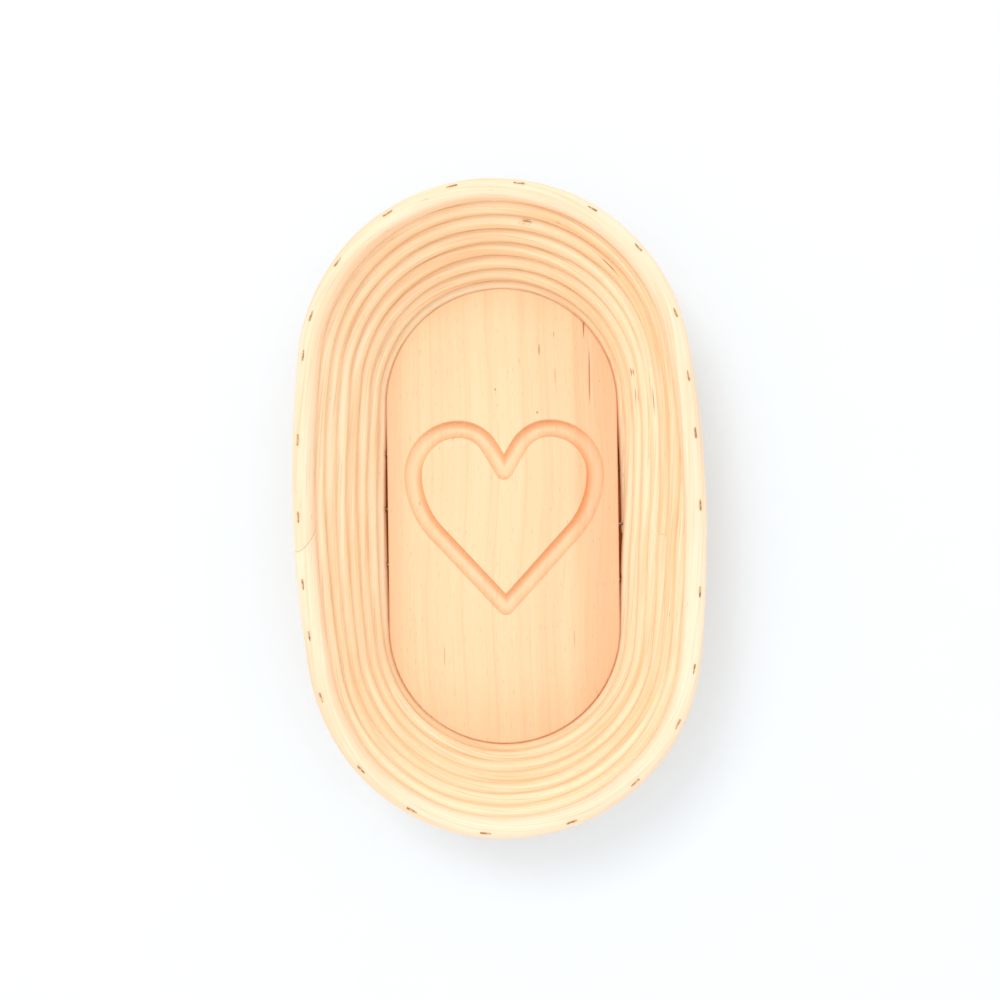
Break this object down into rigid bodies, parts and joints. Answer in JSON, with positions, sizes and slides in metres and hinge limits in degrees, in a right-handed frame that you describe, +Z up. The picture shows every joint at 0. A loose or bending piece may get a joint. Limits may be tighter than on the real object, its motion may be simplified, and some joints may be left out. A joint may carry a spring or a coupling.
{
  "type": "banneton basket",
  "caption": "Oval proofing basket for bread dough: spiral-wound rattan cane wall and rim, stapled, on a wooden board with a routed heart.",
  "frame": {"origin": "under the middle of the basket, on the surface it stands on", "axes": "+Z up, +Y along the basket, +X across it, towards the side where the turns climb"},
  "size_m": [0.1688, 0.27, 0.06],
  "materials": {
    "board_wood": "sanded, unfinished",
    "wall_rattan": "natural round rattan core, unfinished",
    "rim_rattan": "natural round rattan core, paler, unfinished",
    "nail_steel": "bright wire nail",
    "staple_steel": "galvanised wire"
  },
  "bodies": {
    "root": {"base_board": "board_wood", "wall_cane_turns_1_2": "wall_rattan", "wall_cane_turns_3_4": "wall_rattan", "wall_cane_turn_5": "wall_rattan", "wall_cane_turns_6_7": "wall_rattan", "rim_cane": "rim_rattan", "base_nails": "nail_steel", "wall_staples_row_2": "staple_steel", "wall_staples_row_3": "staple_steel", "wall_staples_row_4": "staple_steel", "wall_staples_row_5": "staple_steel", "wall_staples_row_6": "staple_steel", "wall_staples_row_7": "staple_steel", "rim_staples": "staple_steel"}
  },
  "joints": []
}
